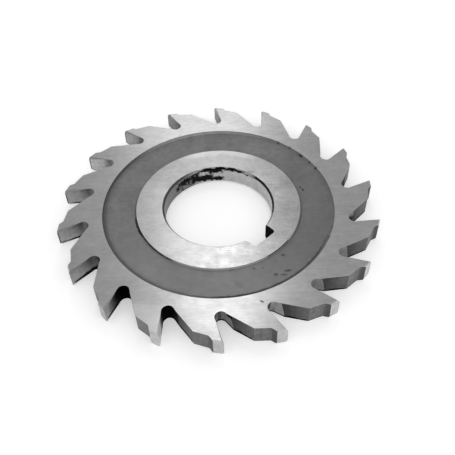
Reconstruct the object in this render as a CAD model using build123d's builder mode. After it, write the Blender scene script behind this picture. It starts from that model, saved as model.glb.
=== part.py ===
"""Straight-tooth slotting cutter, 80 mm across, 5 mm wide, for a 27 mm arbor.

Frame: origin on the bore axis at the lower face, +Z along the bore, keyway towards +X.
Teeth cut anticlockwise seen from above (+Z). All lengths in millimetres, angles in degrees.
"""

import math
import os

from build123d import *

# Overall
cutting_diameter = 80.0
width = 5.0
tooth_count = 18
first_tip_angle = -1.7  # tip next to the keyway centreline

# Bore and keyway
bore_diameter = 27.0
bore_chamfer = 0.5
keyway_width = 7.0
keyway_floor = 16.3  # axis to keyway floor
keyway_corner_radius = 0.8

# Hub and the shallow recess turned into both faces
hub_diameter = 41.0
recess_diameter = 57.7
recess_depth = 0.6
recess_wall_radius = 0.55

# Tooth: radius, and lag in degrees behind its own tip
land_end_radius = 39.6
land_end_lag = 3.35
step_foot_radius = 38.4
step_foot_lag = 4.7
step_foot_fillet = 0.6
back_corner_radius = 37.55
back_corner_lag = 9.98

# Bevels stoned on the edges of every tooth, on both side faces
land_bevel = 0.25
rake_bevel_width = 0.45  # at the tip, across the side face, fading out at the root
rake_bevel_height = 0.8  # at the tip, down the rake face

# Gullet: round root between the tooth back and the next rake face
root_centre_radius = 33.7
root_centre_lag = 20.78
root_radius = 1.37

# Relief ground into every root, leaning towards the axis at the lower face
relief_radius = 1.3
relief_drop = 1.17  # how much nearer the axis it lies at the lower face
relief_shift = 0.18  # how far it lies towards the tooth back at the upper face
crease_head_reach = 1.3  # along the tooth back from the root, upper face
crease_foot_reach = 1.95  # the same at the lower face

tip_radius = cutting_diameter / 2
tooth_pitch = 360.0 / tooth_count
overrun = 1.0
flank_overrun = 0.15
fade_clearance = 0.04  # the rake bevels end this far off the root
flank_radius = relief_radius - 0.02  # the flank starts just inside the round bar


def polar(radius, angle):
    """Point at a radius and an angle in degrees."""
    turn = math.radians(angle)
    return (radius * math.cos(turn), radius * math.sin(turn))


def tangent_point(start, centre, radius, side):
    """Where the line from start touches a circle, on the side given as 1 or -1."""
    across = centre[0] - start[0]
    along = centre[1] - start[1]
    distance = math.hypot(across, along)
    reach = math.sqrt(distance**2 - radius**2)
    turn = math.atan2(along, across) + side * math.asin(radius / distance)
    return (start[0] + reach * math.cos(turn), start[1] + reach * math.sin(turn))


def towards_axis(centre, radius):
    """Point of a circle nearest the bore axis."""
    distance = math.hypot(centre[0], centre[1])
    scale = (distance - radius) / distance
    return (centre[0] * scale, centre[1] * scale)


def point_along(start, end, reach):
    """Point on the line from start towards end, at a reach from start."""
    scale = reach / math.dist(start, end)
    return (start[0] + (end[0] - start[0]) * scale, start[1] + (end[1] - start[1]) * scale)


def edge_bar(start, end, height, breadth, depth):
    """Diamond bar centred on a line in a side face, half as wide and deep as given."""
    length = math.dist(start, end)
    run_x = (end[0] - start[0]) / length
    run_y = (end[1] - start[1]) / length
    section = Plane(
        origin=(start[0], start[1], height),
        x_dir=(-run_y, run_x, 0.0),
        z_dir=(run_x, run_y, 0.0),
    )
    with BuildPart(mode=Mode.PRIVATE) as bar:
        with BuildSketch(section):
            Polygon((breadth, 0.0), (0.0, depth), (-breadth, 0.0), (0.0, -depth))
        extrude(amount=length)
    return bar.part


# Corners of the first tooth and of the gullet in front of it
tip = polar(tip_radius, first_tip_angle)
land_end = polar(land_end_radius, first_tip_angle - land_end_lag)
root_centre = polar(root_centre_radius, first_tip_angle + tooth_pitch - root_centre_lag)
front_back_corner = polar(back_corner_radius, first_tip_angle + tooth_pitch - back_corner_lag)
root_start = tangent_point(front_back_corner, root_centre, root_radius, -1)
root_end = tangent_point(tip, root_centre, root_radius, 1)

with BuildPart() as slotting_cutter:
    # Toothed blank: every tooth is land, step, back, root and the rake face of the next tooth
    with BuildSketch():
        with BuildLine():
            for number in range(tooth_count):
                tip_angle = first_tip_angle - number * tooth_pitch
                corners = [
                    polar(tip_radius, tip_angle),
                    polar(land_end_radius, tip_angle - land_end_lag),
                    polar(step_foot_radius, tip_angle - step_foot_lag),
                    polar(back_corner_radius, tip_angle - back_corner_lag),
                ]
                next_tip = polar(tip_radius, tip_angle - tooth_pitch)
                centre = polar(root_centre_radius, tip_angle - root_centre_lag)
                arc_start = tangent_point(corners[-1], centre, root_radius, -1)
                arc_end = tangent_point(next_tip, centre, root_radius, 1)
                Polyline(*corners, arc_start)
                ThreePointArc(arc_start, towards_axis(centre, root_radius), arc_end)
                Line(arc_end, next_tip)
        toothed_face = make_face()
        feet = toothed_face.vertices().filter_by(
            lambda v: abs(math.hypot(v.X, v.Y) - step_foot_radius) < 0.01
        )
        fillet(feet, step_foot_fillet)
    extrude(amount=width)

    # Bevels along the land and the rake face of every tooth, at both side faces
    land_line = (point_along(tip, land_end, -overrun), point_along(land_end, tip, -overrun))
    fade_out = point_along(root_end, root_centre, rake_bevel_width + fade_clearance)
    rake_line = (point_along(tip, fade_out, -overrun), fade_out)
    for face_height in (0.0, width):
        land_bar = edge_bar(*land_line, face_height, land_bevel, land_bevel)
        rake_bar = edge_bar(*rake_line, face_height, rake_bevel_width, rake_bevel_height)
        with PolarLocations(0, tooth_count):
            add(land_bar, mode=Mode.SUBTRACT)
            add(rake_bar, mode=Mode.SUBTRACT)

    # Relief in every root: a leaning round bar, and a flank from it to a crease in the tooth back
    relief_head = point_along(root_centre, root_start, relief_shift)
    relief_foot = towards_axis(root_centre, relief_drop)
    relief_axis = Vector(*relief_head, width) - Vector(*relief_foot, 0.0)
    with BuildPart(mode=Mode.PRIVATE) as relief_tool:
        with BuildSketch(Plane(origin=(*relief_foot, 0.0), z_dir=relief_axis).offset(-overrun)):
            Circle(relief_radius)
        extrude(amount=width + 2 * overrun)
        for height in (-flank_overrun, width + flank_overrun):
            rise = height / width
            centre = point_along(relief_foot, relief_head, rise * math.dist(relief_foot, relief_head))
            crease_reach = crease_foot_reach + (crease_head_reach - crease_foot_reach) * rise
            crease = point_along(root_start, front_back_corner, crease_reach)
            flank_start = tangent_point(crease, centre, flank_radius, -1)
            flank_end = point_along(crease, flank_start, -overrun)
            with BuildSketch(Plane.XY.offset(height)):
                with BuildLine():
                    Polyline(centre, flank_start, flank_end, close=True)
                make_face()
        loft(ruled=True)
    with PolarLocations(0, tooth_count):
        add(relief_tool.part, mode=Mode.SUBTRACT)

    # Shallow recess in both faces, leaving the hub and the toothed ring flush
    for face_height, inward in ((0.0, 1), (width, -1)):
        with BuildPart(mode=Mode.PRIVATE) as recess_tool:
            with BuildSketch(Plane.XY.offset(face_height)):
                Circle(recess_diameter / 2)
                Circle(hub_diameter / 2, mode=Mode.SUBTRACT)
            extrude(amount=inward * recess_depth)
            floor_rim = recess_tool.edges().filter_by(
                lambda e: e.geom_type == GeomType.CIRCLE
                and abs(e.radius - recess_diameter / 2) < 0.01
                and 0.01 < e.center().Z < width - 0.01
            )
            fillet(floor_rim, recess_wall_radius)
        add(recess_tool.part, mode=Mode.SUBTRACT)

    # Bore with a bevel at both ends, then the keyway through
    with BuildSketch():
        Circle(bore_diameter / 2)
    extrude(amount=width, mode=Mode.SUBTRACT)
    bore_rims = slotting_cutter.edges().filter_by(
        lambda e: e.geom_type == GeomType.CIRCLE and abs(e.radius - bore_diameter / 2) < 0.01
    )
    chamfer(bore_rims, bore_chamfer)
    with BuildSketch():
        with Locations((keyway_floor / 2, 0.0)):
            keyway_slot = Rectangle(keyway_floor, keyway_width)
        fillet(keyway_slot.vertices().group_by(Axis.X)[-1], keyway_corner_radius)
    extrude(amount=width, mode=Mode.SUBTRACT)

slotting_cutter.part.label = "slotting_cutter"

os.makedirs("parts", exist_ok=True)
export_step(slotting_cutter.part, "parts/slotting_cutter.step")
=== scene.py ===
"""Dresses an 80 mm slotting cutter that lies on a pale floor in soft studio light.

The cutter is modelled with its bevelled teeth, turned, ground and milled surfaces and its marks of
use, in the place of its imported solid. Sizes are in millimetres and degrees, meshes in metres.
"""

import logging
import math
from collections.abc import Callable, Mapping, Sequence
from dataclasses import astuple, dataclass, field
from enum import Enum, auto
from functools import partial

import bmesh
import bpy
from mathutils import Matrix, Quaternion, Vector


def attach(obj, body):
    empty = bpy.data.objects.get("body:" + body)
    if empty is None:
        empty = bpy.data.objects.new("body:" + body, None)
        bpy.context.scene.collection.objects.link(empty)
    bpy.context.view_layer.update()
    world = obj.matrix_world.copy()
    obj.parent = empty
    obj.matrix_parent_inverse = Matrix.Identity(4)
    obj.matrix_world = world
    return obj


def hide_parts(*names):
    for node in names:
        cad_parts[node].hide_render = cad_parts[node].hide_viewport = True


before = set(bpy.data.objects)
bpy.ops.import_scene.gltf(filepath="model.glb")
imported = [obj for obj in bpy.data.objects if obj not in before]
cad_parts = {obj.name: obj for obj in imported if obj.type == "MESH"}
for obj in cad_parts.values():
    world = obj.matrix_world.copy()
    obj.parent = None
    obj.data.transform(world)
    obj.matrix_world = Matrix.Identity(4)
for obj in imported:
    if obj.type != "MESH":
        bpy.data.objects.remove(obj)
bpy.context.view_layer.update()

MM = 0.001
UP = Vector((0.0, 0.0, 1.0))
CAD_NODE = "slotting_cutter"
GRIND_TURN = 47.3  # the surface grinder's lines run this many degrees from +X
WIDTH = 5.0
MERGE = 0.001  # points closer than this are one
ON_LINE = 1e-9  # a cross product under this puts a point on a line, in square metres
SHARP_ANGLE = 24.0  # edges of the teeth that turn more than this are broken by deburring
CRISP_ANGLE = 35.0  # edges that turn more than this are shaded crisp
FLAT = 0.95  # Z of a normal over which a face counts as level
LEANING = 0.3  # Z of a normal over which an upright face counts as bevelled
SLACK = 0.05  # how far off its surface a face's middle may lie

PLUMB = 0.1  # Z of a normal under which a face counts as upright
NOISE_ROUGHNESS = 0.6
TONE_GAIN = 2.5  # brings a noise, which keeps near its mean, to the full range of tones
RELIEF_HEIGHT = 0.02  # height of the grinding and milling lines
MARK_EDGE = (1.35, 0.5)  # where a mark fades out and where it is full, in half sizes

log = logging.getLogger("slotting_cutter")


class Surface(Enum):
    """The kinds of surface on the cutter, each with a finish of its own."""

    RING_FACE = auto()
    HUB_FACE = auto()
    RECESS_FLOOR = auto()
    RECESS_WALL = auto()
    HUB_WALL = auto()
    BORE_WALL = auto()
    BORE_BEVEL = auto()
    KEYWAY = auto()
    LAND = auto()
    LAND_BEVEL = auto()
    RAKE_BEVEL = auto()
    TOOTH_BACK = auto()
    RAKE_FACE = auto()
    ROOT = auto()


def place(radius: float, angle: float, height: float = 0.0) -> Vector:
    """Gives a point round the bore axis.

    Args:
        radius: Distance from the axis in millimetres.
        angle: Direction in degrees, anticlockwise from +X.
        height: Height over the lower face in millimetres.

    Returns:
        The point in metres.
    """
    turn = math.radians(angle)
    return Vector((radius * math.cos(turn), radius * math.sin(turn), height)) * MM


def step_towards(start: Vector, end: Vector, reach: float) -> Vector:
    """Gives the point a reach in millimetres from a start towards an end."""
    return start + (end - start).normalized() * reach * MM


def touch_point(start: Vector, centre: Vector, radius: float, side: int) -> Vector:
    """Finds where a line from a point touches a circle in the XY plane.

    Args:
        start: Where the line begins, in metres.
        centre: The circle's centre, in metres.
        radius: The circle's radius in millimetres.
        side: 1 or -1, the side of the circle that the line touches.

    Returns:
        The touching point in metres, at the height of the start.
    """
    across = (centre - start).xy
    size = radius * MM
    reach = math.sqrt(across.length_squared - size**2)
    turn = math.atan2(across.y, across.x) + side * math.asin(size / across.length)
    return start + Vector((math.cos(turn), math.sin(turn), 0.0)) * reach


def turn_between(centre: Vector, start: Vector, end: Vector) -> float:
    """Gives the shorter turn round a centre from one point to another, in radians."""
    return (end - centre).xy.angle_signed((start - centre).xy)


def spun_arc(
    bm: bmesh.types.BMesh, start: Vector, centre: Vector, turn: float, steps: int
) -> list[bmesh.types.BMVert]:
    """Spins a vertex round a centre to draw an arc in the XY plane.

    Args:
        bm: The mesh that takes the arc.
        start: Where it begins, in metres.
        centre: Its centre.
        turn: How far it turns, in radians, anticlockwise.
        steps: Number of edges.

    Returns:
        The arc's vertices in order.
    """
    first = bm.verts.new(start)
    bmesh.ops.spin(
        bm,
        geom=[first],
        cent=centre,
        axis=UP,
        dvec=(0.0, 0.0, 0.0),
        angle=turn,
        steps=steps,
        use_duplicate=False,
        use_merge=False,
    )
    bm.verts.ensure_lookup_table()
    return [first, *bm.verts[-steps:]]


def mesh_from(bm: bmesh.types.BMesh, name: str) -> bpy.types.Mesh:
    """Turns a finished bmesh into a mesh.

    Args:
        bm: The bmesh, which is freed.
        name: The mesh's name.

    Returns:
        The mesh.
    """
    mesh = bpy.data.meshes.new(name)
    bm.to_mesh(mesh)
    bm.free()
    return mesh


def add_object(name: str, data: bpy.types.ID) -> bpy.types.Object:
    """Puts a mesh, a lamp or a camera in the scene.

    Args:
        name: The object's name.
        data: What it shows.

    Returns:
        The object, at the origin.
    """
    made = bpy.data.objects.new(name, data)
    bpy.context.scene.collection.objects.link(made)
    return made


def repeat_round(bm: bmesh.types.BMesh, count: int) -> None:
    """Repeats everything in a mesh round the bore axis.

    Args:
        bm: The mesh.
        count: How many there are in the end.
    """
    bmesh.ops.spin(
        bm,
        geom=bm.verts[:] + bm.edges[:] + bm.faces[:],
        cent=(0.0, 0.0, 0.0),
        axis=UP,
        dvec=(0.0, 0.0, 0.0),
        angle=math.tau * (count - 1) / count,
        steps=count - 1,
        use_duplicate=True,
        use_merge=False,
    )


def round_off(
    bm: bmesh.types.BMesh,
    geom: Sequence[bmesh.types.BMEdge | bmesh.types.BMVert],
    radius: float,
    segments: int,
    **settings: object,
) -> None:
    """Rounds edges or corners of a mesh.

    Args:
        bm: The mesh.
        geom: The edges, or the corners of a flat face.
        radius: How far from them the rounding begins, in millimetres.
        segments: Number of faces or edges in it.
        **settings: Further settings of the operator.
    """
    settings = {"affect": "EDGES", "offset_type": "OFFSET", "material": -1} | settings
    bmesh.ops.bevel(bm, geom=geom, offset=radius * MM, segments=segments, profile=0.5, **settings)


def linear(hex_colour: str) -> tuple[float, float, float, float]:
    """Turns an sRGB hex colour to linear light.

    Args:
        hex_colour: Colour as "#rrggbb".

    Returns:
        Linear red, green, blue and an alpha of 1.
    """
    parts = (int(hex_colour[i : i + 2], 16) / 255 for i in (1, 3, 5))
    red, green, blue = (c / 12.92 if c <= 0.04045 else ((c + 0.055) / 1.055) ** 2.4 for c in parts)
    return (red, green, blue, 1.0)


def add_node(
    tree: bpy.types.NodeTree,
    kind: str,
    inputs: Mapping[str | int, object] | None = None,
    **settings: object,
) -> bpy.types.Node:
    """Adds one node to a tree, with its settings and what feeds it.

    Args:
        tree: The node tree.
        kind: The node's Blender type name.
        inputs: Socket name or number to a value, to the output socket that feeds it, or to a node
            whose first output does.
        **settings: The node's own properties.

    Returns:
        The new node.
    """
    node = tree.nodes.new(kind)
    for name, value in settings.items():
        setattr(node, name, value)
    for key, value in (inputs or {}).items():
        source = value.outputs[0] if isinstance(value, bpy.types.Node) else value
        if isinstance(source, bpy.types.NodeSocket):
            tree.links.new(source, node.inputs[key])
        else:
            node.inputs[key].default_value = source
    return node


def empty_tree(owner: bpy.types.Material | bpy.types.World) -> bpy.types.NodeTree:
    """Turns on the nodes of a material or a world, with none in it yet.

    Args:
        owner: The material or the world.

    Returns:
        Its node tree.
    """
    owner.use_nodes = True
    owner.node_tree.nodes.clear()
    return owner.node_tree


@dataclass
class ToothRing:
    """The ring of teeth outside the turned body.

    Every tooth is a land, a step down, a back, a round root and the rake face of the next tooth.
    """

    tooth_count: int = 18
    width: float = WIDTH
    first_tip_angle: float = -1.7
    tip_radius: float = 40.0
    land_end_radius: float = 39.6
    land_end_lag: float = 3.35
    step_foot_radius: float = 38.4
    step_foot_lag: float = 4.7
    step_foot_fillet: float = 0.6
    back_corner_radius: float = 37.55
    back_corner_lag: float = 9.98
    root_centre_radius: float = 33.7
    root_centre_lag: float = 20.78
    root_radius: float = 1.37
    inner_radius: float = 31.0
    fillet_steps: int = 4
    root_steps: int = 10
    inner_steps: int = 20
    edge_break: float = 0.04
    edge_segments: int = 2

    @property
    def pitch(self) -> float:
        """Angle from one tooth to the next, in degrees."""
        return 360.0 / self.tooth_count

    @property
    def seam_angle(self) -> float:
        """Where the first tooth's sector ends: at its back corner."""
        return self.first_tip_angle - self.back_corner_lag

    @property
    def tip(self) -> Vector:
        """The first tooth's tip, where its land meets its rake face."""
        return place(self.tip_radius, self.first_tip_angle)

    @property
    def land_end(self) -> Vector:
        """Where the first tooth's land ends."""
        return place(self.land_end_radius, self.first_tip_angle - self.land_end_lag)

    @property
    def corner_ahead(self) -> Vector:
        """The back corner of the tooth in front of the first one."""
        return place(self.back_corner_radius, self.seam_angle + self.pitch)

    @property
    def root(self) -> Vector:
        """The centre of the round root in front of the first tooth."""
        angle = self.first_tip_angle + self.pitch - self.root_centre_lag
        return place(self.root_centre_radius, angle)

    @property
    def root_start(self) -> Vector:
        """Where that root leaves the tooth back in front."""
        return touch_point(self.corner_ahead, self.root, self.root_radius, -1)

    @property
    def root_end(self) -> Vector:
        """Where that root meets the first tooth's rake face."""
        return touch_point(self.tip, self.root, self.root_radius, 1)

    def step_fillet(self, bm: bmesh.types.BMesh) -> list[bmesh.types.BMVert]:
        """Draws the small round at the foot of the step behind the land.

        Args:
            bm: The mesh that takes it.

        Returns:
            Its vertices, from the step to the back.
        """
        step_foot = place(self.step_foot_radius, self.first_tip_angle - self.step_foot_lag)
        up_step = (self.land_end - step_foot).normalized()
        to_back = (place(self.back_corner_radius, self.seam_angle) - step_foot).normalized()
        half_opening = up_step.angle(to_back) / 2
        reach = self.step_foot_fillet * MM / math.tan(half_opening)
        middle = (up_step + to_back).normalized()
        centre = step_foot + middle * self.step_foot_fillet * MM / math.sin(half_opening)
        start = step_foot + up_step * reach
        turn = turn_between(centre, start, step_foot + to_back * reach)
        return spun_arc(bm, start, centre, turn, self.fillet_steps)

    def sector_face(self, bm: bmesh.types.BMesh) -> bmesh.types.BMFace:
        """Draws the plan of one sector, from one back corner to the next.

        Args:
            bm: The mesh that takes it.

        Returns:
            The flat face at the lower side.
        """
        root_turn = turn_between(self.root, self.root_start, self.root_end)
        inner_start = place(self.inner_radius, self.seam_angle)
        corners = [bm.verts.new(self.corner_ahead)]
        corners += spun_arc(bm, self.root_start, self.root, root_turn, self.root_steps)
        corners += [bm.verts.new(self.tip), bm.verts.new(self.land_end)]
        corners += self.step_fillet(bm)
        corners.append(bm.verts.new(place(self.back_corner_radius, self.seam_angle)))
        corners += spun_arc(bm, inner_start, Vector(), math.radians(self.pitch), self.inner_steps)
        return bm.faces.new(corners)

    def build(self, bm: bmesh.types.BMesh) -> None:
        """Builds the whole ring, open at its inner radius.

        Args:
            bm: An empty mesh that takes the ring.
        """
        face = self.sector_face(bm)
        raised = bmesh.ops.extrude_face_region(bm, geom=[face])["geom"]
        lifted = [item for item in raised if isinstance(item, bmesh.types.BMVert)]
        bmesh.ops.translate(bm, verts=lifted, vec=UP * self.width * MM)
        bmesh.ops.recalc_face_normals(bm, faces=bm.faces)
        bmesh.ops.delete(bm, geom=self.inside_walls(bm), context="FACES")
        repeat_round(bm, self.tooth_count)
        bmesh.ops.remove_doubles(bm, verts=bm.verts, dist=MERGE * MM)

    def inside_walls(self, bm: bmesh.types.BMesh) -> list[bmesh.types.BMFace]:
        """Lists the walls that lie inside the finished cutter.

        Args:
            bm: The mesh of one closed sector.

        Returns:
            Its inner wall and its two seams.
        """
        inner = (self.inner_radius + SLACK) * MM
        seams = (place(1.0, self.seam_angle), place(1.0, self.seam_angle + self.pitch))
        return [
            wall
            for wall in bm.faces
            if abs(wall.normal.z) < LEANING
            and (
                all(vert.co.xy.length < inner for vert in wall.verts)
                or any(all(abs(v.co.cross(seam).z) < ON_LINE for v in wall.verts) for seam in seams)
            )
        ]

    def break_edges(self, bm: bmesh.types.BMesh) -> None:
        """Rounds every sharp edge of the teeth a little, as deburring leaves them.

        Args:
            bm: The closed mesh of the cutter.
        """
        outside = (self.inner_radius + SLACK) * MM
        sharp = [
            edge
            for edge in bm.edges
            if edge.is_manifold
            and edge.calc_face_angle() > math.radians(SHARP_ANGLE)
            and all(vert.co.xy.length > outside for vert in edge.verts)
        ]
        round_off(bm, sharp, self.edge_break, self.edge_segments, clamp_overlap=True)


@dataclass(frozen=True)
class Nick:
    """A small dent in the recess's upper rim, with dirt in it."""

    angle: float
    half_angle: float
    depth: float
    dirt_radius: float
    dirt_length: float
    dirt_strength: float

    def dirt(self) -> "Mark":
        """Gives the dirt in the dent, which lies along the rim."""
        length, turn = self.dirt_length, self.angle + 90
        return Mark(self.dirt_radius, self.angle, length, 0.5, turn, "#101010", self.dirt_strength)


NICKS = (
    Nick(101.6, 1.1, 0.14, 28.72, 0.9, 0.65),
    Nick(94.0, 1.0, 0.12, 28.78, 0.7, 0.55),
    Nick(85.8, 1.6, 0.12, 28.6, 1.5, 1.0),
    Nick(78.8, 0.9, 0.1, 28.64, 0.6, 0.8),
    Nick(73.3, 1.0, 0.14, 28.72, 0.8, 0.95),
    Nick(30.5, 0.8, 0.1, 28.5, 0.5, 0.8),
    Nick(23.5, 0.8, 0.1, 28.5, 0.6, 0.8),
)


@dataclass
class TurnedBody:
    """The turned body: bore, hub and the shallow recess in both faces."""

    width: float = WIDTH
    rim_radius: float = 31.0
    bore_radius: float = 13.5
    bore_bevel: float = 0.5
    hub_radius: float = 20.5
    recess_radius: float = 28.85
    recess_depth: float = 0.6
    recess_fillet: float = 0.55
    edge_break: float = 0.045
    fillet_segments: int = 6
    edge_segments: int = 2
    steps: int = 360
    nicks: Sequence[Nick] = NICKS
    nick_depth: float = 0.2  # how far down from the upper face the nicks reach

    def half_section(self) -> list[tuple[float, float, float]]:
        """Lists the section's corners.

        Returns:
            Radius, height and rounding of each, from the upper rim round the bore to the lower one.
        """
        floor, top = self.recess_depth, self.width
        edge = self.edge_break
        upper = [
            (self.rim_radius, top, 0.0),
            (self.recess_radius, top, edge),
            (self.recess_radius, top - floor, self.recess_fillet),
            (self.hub_radius, top - floor, edge),
            (self.hub_radius, top, edge),
            (self.bore_radius + self.bore_bevel, top, edge),
            (self.bore_radius, top - self.bore_bevel, edge),
        ]
        lower = [(radius, top - height, rounding) for radius, height, rounding in reversed(upper)]
        return upper + lower

    def section_wire(self, bm: bmesh.types.BMesh, angle: float) -> list[bmesh.types.BMEdge]:
        """Draws the half section, its corners rounded, as a line of edges that is open at the rim.

        Args:
            bm: The mesh that takes it.
            angle: The direction of the section's plane, in degrees.

        Returns:
            Its edges.
        """
        section = self.half_section()
        kept = set(bm.faces)
        corners = [bm.verts.new(place(radius, angle, z)) for radius, z, _ in section]
        bm.faces.new(corners)
        for corner, (_, _, rounding) in zip(corners, section):
            if rounding:
                is_edge = rounding == self.edge_break
                segments = self.edge_segments if is_edge else self.fillet_segments
                round_off(bm, [corner], rounding, segments, affect="VERTICES")
        plan = next(face for face in bm.faces if face not in kept)
        rim = (self.rim_radius - MERGE) * MM
        wire = [edge for edge in plan.edges if any(v.co.xy.length < rim for v in edge.verts)]
        closing = [edge for edge in plan.edges if edge not in wire]
        bmesh.ops.delete(bm, geom=[plan], context="FACES_ONLY")
        bmesh.ops.delete(bm, geom=closing, context="EDGES")
        return wire

    def build(self, bm: bmesh.types.BMesh, start_angle: float) -> None:
        """Spins the section round the bore axis, open at the rim.

        Args:
            bm: The mesh that takes the body.
            start_angle: Where the first step lies, in degrees, so that the rim meets the teeth.
        """
        wire = self.section_wire(bm, start_angle)
        points = {vert for edge in wire for vert in edge.verts}
        bmesh.ops.spin(
            bm,
            geom=list(points) + wire,
            cent=(0.0, 0.0, 0.0),
            axis=UP,
            dvec=(0.0, 0.0, 0.0),
            angle=math.tau,
            steps=self.steps,
            use_duplicate=False,
            use_merge=True,
        )

    def dent_rim(self, bm: bmesh.types.BMesh) -> None:
        """Pushes the nicks into the recess's upper rim.

        Args:
            bm: The closed mesh of the cutter.
        """
        for vert in bm.verts:
            radius = vert.co.xy.length / MM
            near_rim = abs(radius - self.recess_radius) < 2 * self.edge_break
            if not near_rim or vert.co.z < (self.width - self.nick_depth) * MM:
                continue
            angle = math.degrees(math.atan2(vert.co.y, vert.co.x))
            for nick in self.nicks:
                off = abs(angle - nick.angle) / nick.half_angle
                if off < 1:
                    push = nick.depth * (1 - off**2)
                    vert.co += vert.co.xy.to_3d().normalized() * push * MM


ToolBuilder = Callable[[bmesh.types.BMesh, ToothRing], None]


@dataclass
class CutAways:
    """What is cut out of the closed body: bevels on the teeth, root reliefs and the keyway."""

    land_bevel: float = 0.25
    rake_bevel_width: float = 0.45
    rake_bevel_height: float = 0.8
    fade_clearance: float = 0.04
    relief_radius: float = 1.3
    relief_drop: float = 1.17
    relief_shift: float = 0.18
    crease_head_reach: float = 1.6
    crease_foot_reach: float = 2.4
    clogged: Sequence[int] = (14, 15)  # gullets whose relief is filled with baked dust
    clogged_drop: float = 0.25
    relief_levels: int = 8  # with fewer, the crease where the flank leaves the back isn't straight
    relief_turn: float = 270.0
    relief_steps: int = 36
    keyway_width: float = 7.0
    keyway_floor: float = 16.3
    keyway_corner: float = 0.8
    keyway_segments: int = 6
    overrun: float = 1.0
    flank_overrun: float = 0.15

    def edge_bars(
        self, bm: bmesh.types.BMesh, teeth: ToothRing, line: Sequence[Vector], size: Sequence[float]
    ) -> None:
        """Builds diamond bars along one tooth edge, at both side faces and on every tooth.

        Args:
            bm: An empty mesh that takes them.
            teeth: The ring that they bevel.
            line: Where the bar on the first tooth starts and ends, in metres.
            size: How far the bar reaches from that line, sideways and up or down.
        """
        run = line[1] - line[0]
        forward = run.normalized()
        turn = Matrix((UP.cross(forward), UP, forward)).transposed().to_4x4()
        scale = Matrix.Diagonal((size[0] * MM, size[1] * MM, 1.0, 1.0))
        for height in (0.0, teeth.width):
            start = Matrix.Translation(line[0] + UP * height * MM)
            bmesh.ops.create_circle(
                bm, cap_ends=True, segments=4, radius=1.0, matrix=start @ turn @ scale
            )
        caps = bm.faces[:]
        raised = bmesh.ops.extrude_face_region(bm, geom=caps, use_keep_orig=True)["geom"]
        moved = [item for item in raised if isinstance(item, bmesh.types.BMVert)]
        bmesh.ops.translate(bm, verts=moved, vec=run)
        repeat_round(bm, teeth.tooth_count)

    def land_bars(self, bm: bmesh.types.BMesh, teeth: ToothRing) -> None:
        """Builds the bars that bevel every land along both side faces.

        Args:
            bm: An empty mesh that takes them.
            teeth: The ring that they bevel.
        """
        line = (
            step_towards(teeth.tip, teeth.land_end, -self.overrun),
            step_towards(teeth.land_end, teeth.tip, -self.overrun),
        )
        self.edge_bars(bm, teeth, line, (self.land_bevel, self.land_bevel))

    def rake_bars(self, bm: bmesh.types.BMesh, teeth: ToothRing) -> None:
        """Builds the bars that bevel every rake face, fading out at the root.

        Args:
            bm: An empty mesh that takes them.
            teeth: The ring that they bevel.
        """
        clear = self.rake_bevel_width + self.fade_clearance
        fade_out = step_towards(teeth.root_end, teeth.root, clear)
        line = (step_towards(teeth.tip, fade_out, -self.overrun), fade_out)
        self.edge_bars(bm, teeth, line, (self.rake_bevel_width, self.rake_bevel_height))

    def reliefs(self, bm: bmesh.types.BMesh, teeth: ToothRing) -> None:
        """Builds the leaning reliefs of all roots, each with a flank up to a crease in the back.

        Args:
            bm: An empty mesh that takes them.
            teeth: The ring whose roots are relieved.
        """
        for number in range(teeth.tooth_count):
            drop = self.clogged_drop if number in self.clogged else self.relief_drop
            kept = set(bm.verts)
            self.relief(bm, teeth, drop)
            turn = Matrix.Rotation(math.radians(teeth.pitch * number), 3, "Z")
            added = [vert for vert in bm.verts if vert not in kept]
            bmesh.ops.rotate(bm, verts=added, cent=(0.0, 0.0, 0.0), matrix=turn)

    def relief(self, bm: bmesh.types.BMesh, teeth: ToothRing, drop: float) -> None:
        """Builds the relief of the root in front of the first tooth.

        Args:
            bm: The mesh that takes it.
            teeth: The ring whose root is relieved.
            drop: How much nearer the axis it lies at the lower face, in millimetres.
        """
        foot = teeth.root - teeth.root.normalized() * drop * MM
        head = step_towards(teeth.root, teeth.root_start, self.relief_shift)
        loops = []
        for level in range(self.relief_levels + 1):
            share = level / self.relief_levels
            height = share * (teeth.width + 2 * self.flank_overrun) - self.flank_overrun
            rise = height / teeth.width
            lift = UP * height * MM
            centre = foot.lerp(head, rise) + lift
            reach_change = self.crease_head_reach - self.crease_foot_reach
            reach = self.crease_foot_reach + reach_change * rise
            crease = step_towards(teeth.root_start, teeth.corner_ahead, reach) + lift
            flank_start = touch_point(crease, centre, self.relief_radius, -1)
            corner = bm.verts.new(step_towards(crease, flank_start, -self.overrun))
            turn = math.radians(self.relief_turn)
            arc = spun_arc(bm, flank_start, centre, turn, self.relief_steps)
            loops.append([corner, *arc])
        bm.faces.new(loops[0])
        bm.faces.new(loops[-1])
        # Made face by face: bridge_loops on the same loops moved points of the finished flanks.
        for lower, upper in zip(loops, loops[1:]):
            for number, corner in enumerate(lower):
                after = (number + 1) % len(lower)
                bm.faces.new((corner, lower[after], upper[after], upper[number]))

    def keyway(self, bm: bmesh.types.BMesh, teeth: ToothRing) -> None:
        """Builds the key's bar, from inside the bore to the keyway's floor.

        Args:
            bm: An empty mesh that takes it.
            teeth: The ring, for the cutter's width.
        """
        near = self.keyway_floor / 2
        length = self.keyway_floor - near
        height = teeth.width + 2 * self.overrun
        scale = Matrix.Diagonal((length * MM, self.keyway_width * MM, height * MM, 1.0))
        middle = Vector((near + length / 2, 0.0, teeth.width / 2)) * MM
        bmesh.ops.create_cube(bm, size=1.0, matrix=Matrix.Translation(middle) @ scale)
        floor = (self.keyway_floor - SLACK) * MM
        far = [
            edge
            for edge in bm.edges
            if all(v.co.x > floor for v in edge.verts)
            and abs(edge.verts[0].co.z - edge.verts[1].co.z) > MM
        ]
        round_off(bm, far, self.keyway_corner, self.keyway_segments)

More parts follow.
